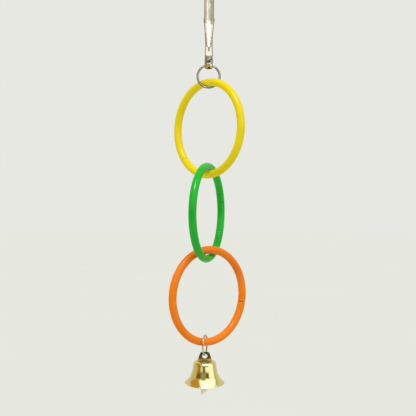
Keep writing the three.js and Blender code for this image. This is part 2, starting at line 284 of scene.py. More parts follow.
# moulded plastic: two close tones, a faint haze, scuffs where the neighbours rub
plasticSet = {
    "ior": 1.5,
    "shine": 0.2,
    "cloudScale": 70,
    "cloudSpan": (0.3, 0.7),
    "rubReach": (3 * mm, 6.5 * mm),
    "speckScale": 900,
    "speckSpan": (0.5, 0.66),
    "scuffPale": (0.75, 0.2),
    "scuffTone": 0.22,
    "scuffHaze": 0.25,
    "scuffBump": 0.6,
    "hazeScale": 210,
    "hazeSpan": (0.3, 0.75),
    "haze": (0.12, 0.22),
    "peelScale": 420,
    "bump": (0.04, 0.04 * mm),
}


def ringPlastic(name, deep, bright, rubs):
    look = plasticSet
    material, tree, shader = newMaterial(name, IOR=look["ior"], Specular_IOR_Level=look["shine"])
    point = objectPoint(tree)
    cloud = noise(tree, point, look["cloudScale"], 3)
    deepAt, brightAt = look["cloudSpan"]
    tone = ramp(tree, cloud, (deepAt, deep), (brightAt, bright))
    near = None
    for rub in rubs:
        touch = remap(tree, distanceTo(tree, rub), *look["rubReach"], 1, 0)
        near = touch if near is None else maths(tree, "MAXIMUM", near, touch)
    specks = remap(tree, noise(tree, point, look["speckScale"], 6, 0.7), *look["speckSpan"], 0, 1)
    scuff = maths(tree, "MULTIPLY", near, specks)
    keep, add = look["scuffPale"]
    pale = tuple(keep * c + add for c in bright)
    share = maths(tree, "MULTIPLY", scuff, look["scuffTone"])
    tree.links.new(mixColours(tree, share, tone, pale), shader.inputs["Base Color"])
    haze = remap(tree, noise(tree, point, look["hazeScale"], 5, 0.6), *look["hazeSpan"], *look["haze"])
    haze = maths(tree, "ADD", haze, maths(tree, "MULTIPLY", scuff, look["scuffHaze"]))
    tree.links.new(haze, shader.inputs["Roughness"])
    peel = noise(tree, point, look["peelScale"], 2)
    height = maths(tree, "ADD", peel, maths(tree, "MULTIPLY", scuff, look["scuffBump"]))
    bumps(tree, shader, height, *look["bump"])
    return material


# bright plate on rolled sheet or drawn wire: fine lines along one way, cloudy stains
plateSet = {
    "toneSpan": (0.35, 0.7),
    "cloudScale": 330,
    "spotSpan": (0.58, 0.74),
    "spotTone": 0.6,
    "spotHaze": 0.2,
    "hazeSpan": (0.3, 0.75),
    "bump": (0.12, 0.03 * mm),
}


def platedMetal(name, bright, dull, stain, grainScale, smoothness, inside=None):
    look = plateSet
    material, tree, shader = newMaterial(name, Metallic=1.0)
    grain = noise(tree, objectPoint(tree, scale=grainScale), 1, 4, 0.6)
    cloud = noise(tree, objectPoint(tree), look["cloudScale"], 4, 0.6)
    tone = mixColours(tree, remap(tree, grain, *look["toneSpan"], 0, 1), bright, dull)
    spots = remap(tree, cloud, *look["spotSpan"], 0, look["spotTone"])
    tone = mixColours(tree, spots, tone, stain)
    haze = remap(tree, grain, *look["hazeSpan"], *smoothness)
    # painted shade inside a tube, with a painted reflection near its mouth
    if inside:
        share, mouth = insideShares(tree, inside)
        tone = mixColours(tree, share, tone, mixColours(tree, mouth, inside["deep"], inside["mouth"]))
        haze = maths(tree, "ADD", haze, maths(tree, "MULTIPLY", share, inside["haze"]))
    tree.links.new(tone, shader.inputs["Base Color"])
    haze = maths(tree, "ADD", haze, maths(tree, "MULTIPLY", spots, look["spotHaze"]))
    tree.links.new(haze, shader.inputs["Roughness"])
    bumps(tree, shader, grain, *look["bump"])
    return material


# two shares for an upright tube on the main axis: all its inside, where painted shade goes, and the part
# near its mouth, where a painted reflection goes
def insideShares(tree, inside):
    x, y, z = splitPoint(tree, objectPoint(tree))
    near = remap(tree, distanceFromAxis(tree, x, y), *inside["radius"], 1, 0)
    below = remap(tree, z, *inside["top"], 1, 0)
    mouth = remap(tree, z, *inside["mouthTop"], 1, 0)
    return maths(tree, "MULTIPLY", near, below), mouth


# spun brass: turning lines round the bell's own axis, lacquer haze, a few tarnish spots
brassSet = {
    "lineScale": 2600,
    "cloudScale": 120,
    "toneSpan": (0.35, 0.7),
    "spotScale": 420,
    "spotSpan": (0.62, 0.74),
    "spotTone": 0.55,
    "spotHaze": 0.25,
    "hazeSpan": (0.3, 0.75),
    "paintedShadeRise": 5 * mm,
    "bump": (0.08, 0.02 * mm),
}


def polishedBrass(name, bright, warm, tarnish, smoothness, paintedShade=None):
    look = brassSet
    material, tree, shader = newMaterial(name, Metallic=1.0)
    point = bellPoint(tree)
    x, y, z = splitPoint(tree, point)
    turned = addNode(tree, "CombineXYZ")
    radius = maths(tree, "MULTIPLY", distanceFromAxis(tree, x, y), look["lineScale"])
    tree.links.new(radius, turned.inputs["X"])
    tree.links.new(maths(tree, "MULTIPLY", z, look["lineScale"]), turned.inputs["Y"])
    lines = noise(tree, turned.outputs["Vector"], 1, 3, 0.6)
    cloud = noise(tree, point, look["cloudScale"], 4, 0.55)
    tarnished = noise(tree, point, look["spotScale"], 5, 0.65)
    spots = remap(tree, tarnished, *look["spotSpan"], 0, look["spotTone"])
    tone = mixColours(tree, remap(tree, cloud, *look["toneSpan"], 0, 1), bright, warm)
    # painted shade: a ramp darkens the brass upwards from the crown
    if paintedShade:
        rise = remap(tree, z, 0, look["paintedShadeRise"], 0, 1)
        tone = multiplyColours(tree, tone, ramp(tree, rise, *paintedShade))
    tree.links.new(mixColours(tree, spots, tone, tarnish), shader.inputs["Base Color"])
    haze = remap(tree, lines, *look["hazeSpan"], *smoothness)
    haze = maths(tree, "ADD", haze, maths(tree, "MULTIPLY", spots, look["spotHaze"]))
    tree.links.new(haze, shader.inputs["Roughness"])
    bumps(tree, shader, lines, *look["bump"])
    return material


# painted light inside the clip's barrel: a golden painted reflection of the yellow ring inside its
# mouth, and painted shade above it
barrelPaintedShadeAndReflection = {
    "radius": (2.4 * mm, 2.65 * mm),
    "top": (-46.5 * mm, -46 * mm),
    "mouthTop": (-50 * mm, -49.4 * mm),
    # painted reflection of the yellow ring
    "mouth": (0.66, 0.49, 0.15),
    # painted shade deep inside the barrel
    "deep": (0.12, 0.1, 0.06),
    "haze": 0.35,
}

# painted shade: the lug's brass darkens upwards from the crown
lugPaintedShade = [
    (0.12, (1, 1, 1)),
    (0.26, (0.3, 0.24, 0.25)),
    (0.6, (0.12, 0.13, 0.15)),
    (1.0, (0.12, 0.13, 0.15)),
]

nickelSheet = platedMetal(
    "nickelSheet", (0.7, 0.68, 0.61), (0.6, 0.58, 0.5), (0.4, 0.36, 0.28),
    (1500, 1500, 60), (0.12, 0.22), barrelPaintedShadeAndReflection)
nickelWire = platedMetal(
    "nickelWire", (0.62, 0.59, 0.52), (0.46, 0.42, 0.34), (0.27, 0.22, 0.15),
    (700, 700, 700), (0.14, 0.3))
wornWire = platedMetal(
    "wornWire", (0.36, 0.33, 0.28), (0.3, 0.27, 0.22), (0.22, 0.18, 0.13),
    (300, 300, 300), (0.2, 0.3))
springSteel = platedMetal(
    "springSteel", (0.42, 0.42, 0.43), (0.3, 0.3, 0.31), (0.2, 0.17, 0.14),
    (900, 900, 900), (0.22, 0.38))
brassShell = polishedBrass(
    "brassShell", (0.84, 0.76, 0.44), (0.8, 0.7, 0.37), (0.45, 0.34, 0.12), (0.08, 0.15))
brassPlate = polishedBrass(
    "brassPlate", (0.72, 0.5, 0.12), (0.64, 0.42, 0.09), (0.15, 0.1, 0.025), (0.14, 0.26), lugPaintedShade)
brassLeaf = polishedBrass(
    "brassLeaf", (0.84, 0.79, 0.52), (0.76, 0.68, 0.4), (0.5, 0.42, 0.22), (0.2, 0.36))
print("materials mixed")


# plastic rings: each is spun with its lapped closure, then turned into its place
ringSet = {
    "radius": 29.13 * mm,
    "tube": 2.465 * mm,
    "parting": 0.02 * mm,
    "lap": 5.8 * mm,
    "split": 0.12 * mm,
    "edge": 0.12 * mm,
    "sharp": 55,
    "sides": 36,
    "steps": 180,
    "lapSteps": 8,
}
ringPlaces = [
    {
        "node": "yellow_ring", "body": "yellow", "yaw": -47, "lapAt": 227, "slit": 0.22 * mm,
        "tones": ((0.76, 0.585, 0.002), (0.85, 0.67, 0.004)),
        "neighbours": ("hanger_ring", "green_ring"),
    },
    {
        "node": "green_ring", "body": "green", "yaw": 72, "lapAt": 20.5, "slit": 0.22 * mm,
        "tones": ((0.004, 0.37, 0.018), (0.012, 0.46, 0.03)),
        "neighbours": ("yellow_ring", "orange_ring"),
    },
    {
        "node": "orange_ring", "body": "orange", "yaw": 41, "lapAt": -5.5, "slit": 0.45 * mm,
        "tones": ((0.77, 0.167, 0.001), (0.88, 0.208, 0.002)),
        "neighbours": ("green_ring", "bell_link"),
    },
]


# a face across the tube at this angle round the ring
def onAngle(face, angle):
    middle = face.calc_center_median()
    flat = abs(face.normal.z) < 0.5
    across = abs(face.normal.x * math.cos(angle) + face.normal.y * math.sin(angle)) < 0.2
    apart = math.remainder(math.atan2(middle.y, middle.x) - angle, 2 * math.pi)
    return flat and across and abs(apart) < 1e-3


def spinBy(angle, steps):
    axis = (0, 0, -1 if angle > 0 else 1)
    bpy.ops.mesh.spin(steps=steps, angle=abs(angle), center=(0, 0, 0), axis=axis)


# the tube's section, upright at the ring's radius, ready to be spun
def tubeSection(sides, tube, radius):
    bpy.ops.object.select_all(action="DESELECT")
    bpy.ops.mesh.primitive_circle_add(
        vertices=sides, radius=tube, fill_type="NGON",
        location=(radius, 0, 0), rotation=(math.radians(90), 0, 0))
    section = bpy.context.object
    settle(section)
    startEdit()
    return section


def lappedRing(slit):
    radius = ringSet["radius"]
    half = ringSet["split"] / 2
    gap = slit / radius / 2
    lapHalf = ringSet["lap"] / radius / 2
    ring = tubeSection(ringSet["sides"], ringSet["tube"], radius)
    # a fine parting line round the outside of the tube
    pick("verts", lambda v: abs(v.co.z) < 1e-6 and v.co.x > radius)
    bpy.ops.transform.translate(value=(ringSet["parting"], 0, 0))
    for side in (half, -half):
        bpy.ops.mesh.select_all(action="SELECT")
        bpy.ops.mesh.bisect(plane_co=(0, 0, side), plane_no=(0, 0, 1))
    start = lapHalf + gap
    bpy.ops.mesh.select_all(action="SELECT")
    bpy.ops.transform.rotate(value=-start, orient_axis="Z", center_override=(0, 0, 0))
    bpy.ops.mesh.select_all(action="SELECT")
    spinBy(2 * math.pi - 2 * start, ringSet["steps"])
    # one half goes on over the closure from each end, and the two lie side by side
    pick("faces", lambda f: onAngle(f, start) and f.calc_center_median().z > half)
    spinBy(-2 * lapHalf, ringSet["lapSteps"])
    pick("faces", lambda f: onAngle(f, -start) and f.calc_center_median().z < -half)
    spinBy(2 * lapHalf, ringSet["lapSteps"])
    faceOut()
    bpy.ops.mesh.select_mode(type="EDGE")
    bpy.ops.mesh.select_all(action="DESELECT")
    bpy.ops.mesh.edges_select_sharp(sharpness=math.radians(ringSet["sharp"]))
    bpy.ops.mesh.bevel(offset=ringSet["edge"], segments=3, affect="EDGES", clamp_overlap=True)
    faceOut()
    endEdit()
    return ring


# a ring made flat is stood up, turned to its yaw and moved to its node's middle
def hangRing(ring, node, yaw, turn):
    upright = Matrix.Rotation(math.radians(yaw), 4, "Z") @ Matrix.Rotation(math.radians(90), 4, "X")
    inPlane = Matrix.Rotation(math.radians(turn), 4, "Z")
    ring.matrix_world = Matrix.Translation(middleOf(node)) @ upright @ inPlane
    settle(ring)
    smooth(ring)


def touchPoint(node, neighbour):
    low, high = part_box(neighbour)
    middle = middleOf(neighbour)
    end = low if middle.z > middleOf(node).z else high
    return (middle.x, middle.y, end.z)


def plasticRing(place):
    node, body = place["node"], place["body"]
    ring = lappedRing(place["slit"])
    hangRing(ring, node, place["yaw"], place["lapAt"])
    touches = [touchPoint(node, neighbour) for neighbour in place["neighbours"]]
    material = ringPlastic(body + "Plastic", *place["tones"], touches)
    finishPiece(ring, body + "Ring", material, body, body + "_plastic", node)


for place in ringPlaces:
    plasticRing(place)
print("plastic rings modelled")


# wire rings: round wire with butted ends
wireSet = {"sides": 20, "steps": 120, "edge": 0.25}
wirePlaces = [
    {
        "node": "hanger_ring", "body": "hanger", "name": "hangerRing", "finish": wornWire,
        "radius": 7 * mm, "wire": 0.69 * mm, "yaw": 0, "buttAt": 60, "butt": 0.3 * mm,
    },
    {
        "node": "bell_link", "body": "link", "name": "bellLink", "finish": nickelWire,
        "radius": 6.2 * mm, "wire": 0.53 * mm, "yaw": 78, "buttAt": 20, "butt": 0.3 * mm,
    },
]


def wireRing(place):
    gap = place["butt"] / place["radius"] / 2
    ring = tubeSection(wireSet["sides"], place["wire"], place["radius"])
    bpy.ops.transform.rotate(value=-gap, orient_axis="Z", center_override=(0, 0, 0))
    bpy.ops.mesh.select_all(action="SELECT")
    spinBy(2 * math.pi - 2 * gap, wireSet["steps"])
    faceOut()
    pick("edges", lambda e: any(len(f.verts) > 4 for f in e.link_faces))
    bpy.ops.mesh.bevel(offset=place["wire"] * wireSet["edge"], segments=3, affect="EDGES")
    faceOut()
    endEdit()
    hangRing(ring, place["node"], place["yaw"], place["buttAt"])
    finishPiece(ring, place["name"], place["finish"], place["body"], "nickel", place["node"])


for place in wirePlaces:
    wireRing(place)
print("wire rings modelled")


# clip jaws: a sheet is laid out as a grid, folded to a channel row by row, then given its thickness
clipSet = {
    "sheet": 0.45 * mm,
    "fold": 0.75 * mm,
    "foldLimits": (0.8, 0.6),  # shares of the channel's depth and half width
    "bulge": 0.3 * mm,
    "bulgeHalf": 2.3 * mm,
    "edge": 0.07 * mm,
    "rowStep": 0.55 * mm,
    "rowLeast": 0.12 * mm,
    "tip": 4.98 * mm,
    "tipRound": 0.7 * mm,
    "tipDepth": 0.3,
    "pivot": -22 * mm,
    "pivotHole": 1.3 * mm,
    "ear": 2.8 * mm,
    "earSteps": 8,
    "teeth": 8,
    "teethEnd": -15.5 * mm,
    "toothLip": 0.15 * mm,
    "toothDepth": 0.8 * mm,
    "toothShares": (0.1, 0.4, 0.75),  # where a tooth's flat starts and ends and where its root is
    "foldSteps": 6,
    "crownSteps": 4,
    "smoothAngle": 45,
}

# half width, depth of the spine and depth of the lips by height, all in mm
frontJaw = {
    "side": -1,
    "half": [(5, 2.3), (-8, 3.1), (-24.8, 3.1), (-40.3, 2.0)],
    "spine": [
        (5, 1.5), (-12, 3.3), (-18, 4.02), (-23, 4.62), (-25, 4.95), (-27, 5.48), (-29, 6.15),
        (-40.3, 10.2),
    ],
    "lip": [(-15.5, 0.15), (-19.2, 0.15), (-24.8, 1.8), (-40.3, 8.7)],
    "foot": -40.3 * mm,
}
backJaw = {
    "side": 1,
    "half": [(5, 2.3), (-8, 2.4), (-40.3, 2.4), (-45, 2.75), (-52.4, 2.75)],
    "spine": [
        (5, 1.7), (-16.4, 4.4), (-24.8, 4.4), (-33, 3.7), (-37.5, 2.95), (-44, 3.36), (-46, 3.4),
        (-47.2, 2.75), (-52.4, 2.75),
    ],
    "lip": [(-15.5, 0.15), (-19.2, 0.15), (-24.8, 1.8), (-45, 0), (-52.4, 0)],
    "foot": -52.4 * mm,
}

# the back jaw's tail rolls up into a barrel, its left wing higher than its right one
barrelSet = {
    "radius": 2.75 * mm,
    "leftRoll": (-42.7 * mm, -46.7 * mm),
    "rightRoll": (-45.4 * mm, -47.4 * mm),
    "screwHole": 1.0 * mm,
    "screwAt": -48.2 * mm,
    "sideHole": 1.1 * mm,
    "sideAt": -50.7 * mm,
    "taperFrom": -49.2 * mm,
    "taper": 0.5 * mm,
    "mouthTop": (-2.75 * mm, -49.8 * mm),
    "mouthFoot": (-1.25 * mm, -52.7 * mm),
    "cutter": 10 * mm,
}


# a value between the points of a list that runs from the top down
def between(points, height):
    if height >= points[0][0]:
        return points[0][1]
    for (high, first), (low, second) in zip(points, points[1:]):
        if height >= low:
            share = (high - height) / (high - low)
            return first + share * (second - first)
    return points[-1][1]


def along(table, height):
    return between([(z * mm, value * mm) for z, value in table], height)


def toothCorners():
    pitch = (clipSet["tip"] - clipSet["teethEnd"]) / clipSet["teeth"]
    flatTop, flatEnd, root = clipSet["toothShares"]
    lip = clipSet["toothLip"]
    corners = []
    for tooth in range(clipSet["teeth"]):
        top = clipSet["tip"] - tooth * pitch
        corners.append((top - flatTop * pitch, lip))
        corners.append((top - flatEnd * pitch, lip))
        corners.append((top - root * pitch, lip + clipSet["toothDepth"]))
    return corners


def lipAt(jaw, height):
    if height > clipSet["teethEnd"]:
        return between(toothCorners() + [(clipSet["teethEnd"], clipSet["toothLip"])], height)
    lip = along(jaw["lip"], height)
    rise = abs(height - clipSet["pivot"])
    if rise < clipSet["ear"]:
        lip = min(lip, -math.sqrt(clipSet["ear"] ** 2 - rise ** 2))
    return lip


# the channel is shallower round its tip
def spineAt(jaw, height, lip):
    spine = along(jaw["spine"], height)
    below = (clipSet["tip"] - height) / clipSet["tipRound"]
    if below >= 1:
        return spine
    swell = math.sqrt(max(0, 1 - (1 - below) ** 2))
    return lip + (spine - lip) * (clipSet["tipDepth"] + (1 - clipSet["tipDepth"]) * swell)


# rows stand at every corner and a step apart, and none but a tooth's corner stands too close to the last
def rowHeights(jaw):
    corners = [z for z, lip in toothCorners()]
    heights = {clipSet["tip"], jaw["foot"], *corners}
    for table in ("half", "spine", "lip"):
        heights.update(z * mm for z, value in jaw[table])
    for step in range(-clipSet["earSteps"], clipSet["earSteps"] + 1):
        angle = step / clipSet["earSteps"] * math.pi / 2
        heights.add(clipSet["pivot"] + clipSet["ear"] * math.sin(angle))
    steps = math.ceil((clipSet["tip"] - jaw["foot"]) / clipSet["rowStep"])
    heights.update(clipSet["tip"] - step * clipSet["rowStep"] for step in range(steps))
    ordered = sorted(heights, reverse=True)
    kept = [ordered[0]]
    for height in ordered[1:]:
        onCorner = any(abs(height - z) < 1e-7 for z in corners)
        if onCorner or kept[-1] - height > clipSet["rowLeast"]:
            kept.append(height)
    kept[-1] = jaw["foot"]
    return kept


# one row across the channel, from the left lip over the spine to the right lip, as (x, depth)
def channelRow(half, spine, lip):
    bulge = clipSet["bulge"] * min(1, half / clipSet["bulgeHalf"])
    deepest, widest = clipSet["foldLimits"]
    fold = min(clipSet["fold"], (spine - bulge - lip) * deepest, half * widest)
    corner = spine - bulge - fold
    steps = clipSet["foldSteps"]
    flange = [(-half, lip + (corner - lip) * k / steps) for k in range(steps)]
    turn = []
    for k in range(steps):
        angle = k / steps * math.pi / 2
        turn.append((-half + fold * (1 - math.cos(angle)), corner + fold * math.sin(angle)))
    flat = half - fold
    crown = []
    for k in range(clipSet["crownSteps"] + 1):
        x = -flat + flat * k / clipSet["crownSteps"]
        crown.append((x, spine - bulge * (x / flat) ** 2))
    left = flange + turn + crown
    right = [(-x, depth) for x, depth in reversed(left[:-1])]
    return left + right


# the barrel draws in a little towards its mouth
def barrelRadius(height):
    share = max(0, (barrelSet["taperFrom"] - height) / (barrelSet["taperFrom"] - backJaw["foot"]))
    return barrelSet["radius"] - barrelSet["taper"] * share * share


def easeIn(share):
    share = max(0, min(1, share))
    return share * share * (3 - 2 * share)


def rolledRow(row, height):
    radius = barrelRadius(height)
    wings = (barrelSet["leftRoll"], barrelSet["rightRoll"])
    leftShare, rightShare = (easeIn((top - height) / (top - foot)) for top, foot in wings)
    count = len(row) - 1
    rolled = []
    for k, (x, depth) in enumerate(row):
        share = leftShare + (rightShare - leftShare) * k / count
        angle = math.pi * (2 * k / count - 1)
        rollX, rollDepth = radius * math.sin(angle), radius * math.cos(angle)
        rolled.append((x + share * (rollX - x), depth + share * (rollDepth - depth)))
    return rolled


def jawRows(jaw):
    rows = []
    for height in rowHeights(jaw):
        lip = lipAt(jaw, height)
        row = channelRow(along(jaw["half"], height), spineAt(jaw, height, lip), lip)
        if jaw is backJaw:
            row = rolledRow(row, height)
        rows.append((height, row))
    return rows


# a flat grid takes the rows' places, and the outside of its spine faces away from the other jaw
def foldSheet(rows, side):
    count = len(rows[0][1])
    bpy.ops.object.select_all(action="DESELECT")
    bpy.ops.mesh.primitive_grid_add(x_subdivisions=count - 1, y_subdivisions=len(rows) - 1, size=1)
    piece = bpy.context.object
    startEdit()
    mesh = bmesh.from_edit_mesh(piece.data)
    for index, vert in enumerate(mesh.verts):
        height, row = rows[index // count]
        x, depth = row[index % count]
        vert.co = (x, side * depth, height)
    bmesh.update_edit_mesh(piece.data)
    bpy.ops.mesh.select_all(action="SELECT")
    bpy.ops.mesh.remove_doubles(threshold=1e-6)
    mesh = bmesh.from_edit_mesh(piece.data)
    mesh.normal_update()
    onSpine = Vector((0, side * 4 * mm, -12 * mm))
    spineFace = min(mesh.faces, key=lambda f: (f.calc_center_median() - onSpine).length)
    bpy.ops.mesh.select_all(action="SELECT")
    if spineFace.normal.y * side < 0:
        bpy.ops.mesh.flip_normals()
    endEdit()
    return piece


# the front of the barrel is cut away on a slant, below the screw hole
def cutMouth(piece):
    topY, topZ = barrelSet["mouthTop"]
    footY, footZ = barrelSet["mouthFoot"]
    inward = Vector((0, topZ - footZ, footY - topY)).normalized()
    middle = Vector((0, (topY + footY) / 2, (topZ + footZ) / 2)) - inward * barrelSet["cutter"] / 2
    bpy.ops.object.select_all(action="DESELECT")
    bpy.ops.mesh.primitive_cube_add(
        size=barrelSet["cutter"], location=middle, rotation=(-math.atan2(inward.y, inward.z), 0, 0))
    cutWith(piece, bpy.context.object)


def openBarrel(piece):
    cutMouth(piece)
    radius = barrelSet["radius"]
    drill(piece, barrelSet["screwHole"], (0, -radius, barrelSet["screwAt"]), "y", length=radius)
    drill(piece, barrelSet["sideHole"], (0, 0, barrelSet["sideAt"]), "x")


def sheetJaw(jaw):
    piece = foldSheet(jawRows(jaw), jaw["side"])
    applyModifier(piece, "SOLIDIFY", thickness=clipSet["sheet"], offset=-1, use_even_offset=True)
    drill(piece, clipSet["pivotHole"], (0, 0, clipSet["pivot"]), "x")
    if jaw is backJaw:
        openBarrel(piece)
    softenEdges(piece, clipSet["edge"], segments=2)
    smooth(piece, clipSet["smoothAngle"])
    return piece


finishPiece(sheetJaw(frontJaw), "springJaw", nickelSheet, "lever", "nickel", "spring_jaw")
finishPiece(sheetJaw(backJaw), "fixedJaw", nickelSheet, "clip", "nickel", "fixed_jaw")
print("clip jaws folded")


# a stack of sections: a flat or round start is extruded from level to level and resized
def stackPiece(start, levels, direction=(0, 0, 1)):
    piece = bpy.context.object
    startEdit()
    towards = Vector(direction)
    level, size = start
    for nextLevel, nextSize in levels:
        step = towards * (nextLevel - level)
        bpy.ops.mesh.extrude_region_move(TRANSFORM_OT_translate={"value": step})
        grow = tuple(after / before for after, before in zip(nextSize, size))
        bpy.ops.transform.resize(value=grow, center_override=towards * nextLevel)
        level, size = nextLevel, nextSize
    faceOut()
    endEdit()
    return piece


# pivot rivet: a shank with a low domed head outside each ear
rivetSet = {
    "shank": 1.0 * mm,
    "head": 1.7 * mm,
    "inner": 3.25 * mm,
    "dome": 0.25 * mm,
    "domeShares": [(1, 0.3), (0.86, 0.7), (0.6, 0.92), (0.2, 1)],  # of the head and of the dome
    "edge": 0.05 * mm,
    "sides": 40,
}


def pivotRivet():
    shank, head, inner = rivetSet["shank"], rivetSet["head"], rivetSet["inner"]
    half = [(shank, 0), (shank, inner), (head, inner)]
    for wide, high in rivetSet["domeShares"]:
        half.append((wide * head, inner + high * rivetSet["dome"]))
    endRadius, endAt = half[-1]
    bpy.ops.object.select_all(action="DESELECT")
    bpy.ops.mesh.primitive_circle_add(
        vertices=rivetSet["sides"], radius=endRadius, fill_type="NGON",
        location=(-endAt, 0, 0), rotation=(0, math.radians(90), 0))
    settle(bpy.context.object)
    line = [(-x, radius) for radius, x in reversed(half)] + [(x, radius) for radius, x in half[1:]]
    levels = [(x, (1, radius, radius)) for x, radius in line]
    piece = stackPiece(levels[0], levels[1:], (1, 0, 0))
    softenEdges(piece, rivetSet["edge"], segments=2)
    piece.location = (0, 0, clipSet["pivot"])
    settle(piece)
    smooth(piece)
    finishPiece(piece, "pivotRivet", nickelSheet, "clip", "nickel", "pivot_rivet")


pivotRivet()


# torsion spring: one leg on the lever, two and a half curls round the rivet, one leg on the tail
springSet = {
    "wire": 0.27 * mm,
    "wireSteps": 4,
    "radius": 1.85 * mm,
    "pitch": 1.0 * mm,
    "turns": 2.5,
    "curlSteps": 24,
    "drop": 9 * mm,
    "leverSide": 3.99 * mm,
    "tailSide": 1.02 * mm,
    "legSteps": 10,
}


def springLeg(root, y):
    steps = springSet["legSteps"]
    reach = Vector((0, y, -springSet["drop"]))
    return [root + reach * (k / steps) for k in range(1, steps + 1)]


def springLine():
    turns, radius = springSet["turns"], springSet["radius"]
    steps = int(springSet["curlSteps"] * turns)
    span = springSet["pitch"] * turns
    curls = []
    for step in range(steps + 1):
        angle = math.pi - 2 * math.pi * turns * step / steps
        x = span * (step / steps - 0.5)
        curls.append(Vector((x, radius * math.cos(angle), radius * math.sin(angle))))
    leverLeg = springLeg(curls[0], -springSet["leverSide"])
    tailLeg = springLeg(curls[-1], springSet["tailSide"])
    return leverLeg[::-1] + curls + tailLeg


def jawSpring():
    line = springLine()
    curve = bpy.data.curves.new("jawSpring", "CURVE")
    curve.dimensions = "3D"
    curve.bevel_depth = springSet["wire"]
    curve.bevel_resolution = springSet["wireSteps"]
    curve.use_fill_caps = True
    spline = curve.splines.new("POLY")
    spline.points.add(len(line) - 1)
    for point, place in zip(spline.points, line):
        point.co = (place.x, place.y, place.z + clipSet["pivot"], 1)
    piece = bpy.data.objects.new("jawSpring", curve)
    bpy.context.scene.collection.objects.link(piece)
    only(piece)
    bpy.ops.object.convert(target="MESH")
    piece = bpy.context.object
    startEdit()
    faceOut()
    endEdit()
    smooth(piece)
    finishPiece(piece, "jawSpring", springSteel, None, "spring_steel", "jaw_spring")
    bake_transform(piece)


jawSpring()
print("rivet and spring modelled")


# bell shell: the edge of a disc is drawn down and widened, then given its thickness
bellSet = {
    "sheet": 0.45 * mm,
    "edge": 0.12 * mm,
    "sides": 72,
    "disc": 1.6 * mm,
    "inset": 0.5 * mm,
    "profile": [  # radius and drop in mm
        (3.2, 0), (4.4, 0), (5.0, 0.04), (5.7, 0.22), (6.3, 0.6), (6.78, 1.1), (7.1, 1.75),
        (7.21, 2.3), (7.37, 3.7), (7.59, 5.0), (7.86, 6.3), (8.14, 7.4), (8.5, 8.5), (8.93, 9.6),
        (9.5, 10.75), (10.18, 11.8), (10.97, 12.75), (11.75, 13.5), (12.35, 13.95), (12.55, 14.14),
    ],
    "slot": (4.0 * mm, 1.4 * mm, 4 * mm),
    "smoothAngle": 35,
}


def hangBell(piece):
    piece.location = bellCrown
    piece.rotation_euler = bellTurn
    settle(piece)


def drawShell():
    radius, drop = bellSet["disc"], 0
    bpy.ops.object.select_all(action="DESELECT")
    bpy.ops.mesh.primitive_circle_add(
        vertices=bellSet["sides"], radius=radius, fill_type="NGON", location=(0, 0, 0))
    shell = bpy.context.object
    startEdit()
    bpy.ops.mesh.inset(thickness=bellSet["inset"])
    endEdit()
    startEdit()
    pick("edges", lambda e: e.is_boundary)
    for nextRadius, nextDrop in bellSet["profile"]:
        step = (0, 0, drop - nextDrop * mm)
        bpy.ops.mesh.extrude_edges_move(TRANSFORM_OT_translate={"value": step})
        grow = nextRadius * mm / radius
        bpy.ops.transform.resize(value=(grow, grow, 1), center_override=(0, 0, -nextDrop * mm))
        radius, drop = nextRadius * mm, nextDrop * mm
    faceOut()
    mesh = bmesh.from_edit_mesh(shell.data)
    mesh.normal_update()
    crown = max(mesh.faces, key=lambda f: f.calc_center_median().z)
    if crown.normal.z < 0:
        bpy.ops.mesh.flip_normals()
    endEdit()
    return shell


def bellShell():
    shell = drawShell()
    applyModifier(shell, "SUBSURF", levels=2, render_levels=2)
    applyModifier(shell, "SOLIDIFY", thickness=bellSet["sheet"], offset=-1, use_even_offset=True)
    softenEdges(shell, bellSet["edge"])
    bpy.ops.object.select_all(action="DESELECT")
    bpy.ops.mesh.primitive_cube_add(size=1, scale=bellSet["slot"])
    cutter = bpy.context.object
    settle(cutter)
    cutWith(shell, cutter)
    hangBell(shell)
    smooth(shell, bellSet["smoothAngle"])
    finishPiece(shell, "bellShell", brassShell, "bell", "brass", "bell_shell")


bellShell()
print("bell shell drawn")


# bell lug: a plate extruded from level to level, with the tang and the clapper's eye below the crown
lugSet = {
    "sheet": 0.8 * mm,
    "edge": 0.16 * mm,
    "levels": [  # height and half width in mm
        (-5.5, 0.35), (-5.42, 0.75), (-5.2, 1.08), (-4.8, 1.5), (-4.2, 1.86), (-3.5, 2.05), (-1.6, 2.75),
        (-0.65, 2.75), (-0.65, 1.7), (0.15, 1.7), (0.15, 4.5), (0.8, 4.28), (1.6, 4.01), (2.4, 3.74),
        (3.2, 3.47), (3.9, 3.23), (4.45, 3.03), (4.85, 2.83), (5.15, 2.52), (5.35, 2.15), (5.45, 1.7),
    ],
    "hole": 1.65 * mm,
    "holeAt": 2.85 * mm,
    "holeSides": 48,
    "eye": 1.1 * mm,
    "eyeAt": -3.5 * mm,
    "drillLength": 4 * mm,
}


def bellLug():
    (foot, half), *rest = lugSet["levels"]
    length = lugSet["drillLength"]
    bpy.ops.object.select_all(action="DESELECT")
    bpy.ops.mesh.primitive_plane_add(size=1, location=(0, 0, foot * mm))
    plate = bpy.context.object
    plate.scale = (2 * half * mm, lugSet["sheet"], 1)
    settle(plate)
    stackPiece((foot * mm, (half, 1, 1)), [(z * mm, (wide, 1, 1)) for z, wide in rest])
    drill(plate, lugSet["hole"], (0, 0, lugSet["holeAt"]), "y", length, lugSet["holeSides"])
    drill(plate, lugSet["eye"], (0, 0, lugSet["eyeAt"]), "y", length)
    softenEdges(plate, lugSet["edge"])
    hangBell(plate)
    smooth(plate)
    finishPiece(plate, "bellLug", brassPlate, "bell", "brass", "bell_lug")


bellLug()


